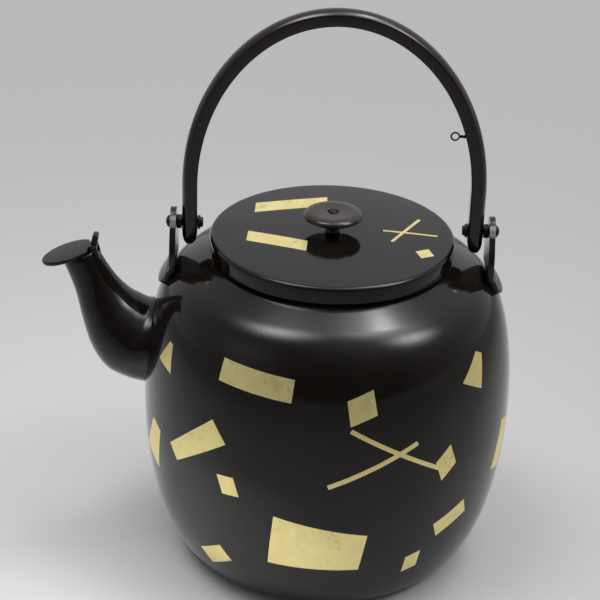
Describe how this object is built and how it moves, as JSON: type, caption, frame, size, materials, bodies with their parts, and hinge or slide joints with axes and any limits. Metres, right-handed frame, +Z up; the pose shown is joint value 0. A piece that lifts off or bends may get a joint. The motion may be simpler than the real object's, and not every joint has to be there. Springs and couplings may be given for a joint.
{
  "type": "water kettle",
  "caption": "Round lacquered water kettle with an arched swing handle on two ears, a flat lift-off lid with a knob, and a curved spout with a hinged cap.",
  "frame": {"origin": "centre of the flat base, on the table", "axes": "+Z up through the lid's knob; X runs through both ears, and the spout points to -X; +Y is away from the side that the picture shows"},
  "size_m": [0.2284, 0.18, 0.278],
  "materials": {
    "black_lacquer": "glossy black lacquer on sheet metal",
    "brown_lacquer": "satin brown-black lacquer on cast metal",
    "dark_metal": "darkened brass"
  },
  "bodies": {
    "kettle": {"kettle_body": "black_lacquer", "neck_collar": "black_lacquer", "spout": "black_lacquer", "cap_hinge_pin": "dark_metal", "left_ear": "brown_lacquer", "right_ear": "brown_lacquer", "left_pivot_pin": "dark_metal", "right_pivot_pin": "dark_metal", "left_spacer_washer": "dark_metal", "right_spacer_washer": "dark_metal", "left_inner_washer": "dark_metal", "right_inner_washer": "dark_metal"},
    "bail": {"handle": "brown_lacquer", "cord_eye": "dark_metal"},
    "lid": {"lid_cap": "black_lacquer", "lid_seat_ring": "black_lacquer", "knob": "brown_lacquer", "knob_stem": "brown_lacquer", "knob_rivet": "dark_metal", "knob_back_washer": "dark_metal"},
    "cap": {"spout_cap": "brown_lacquer"}
  },
  "joints": [
    {"name": "handle_swing", "type": "hinge", "parent": "kettle", "child": "bail", "pos_m": [0, 0, 0.1709], "axis": [1, 0, 0], "range_deg": [-108, 108]},
    {"name": "lid_lift", "type": "slide", "parent": "kettle", "child": "lid", "axis": [0, 0, 1], "range_m": [0, 0.04]},
    {"name": "spout_cap_flip", "type": "hinge", "parent": "kettle", "child": "cap", "pos_m": [-0.1136, 0, 0.1563], "axis": [0, 1, 0], "range_deg": [0, 105]}
  ]
}
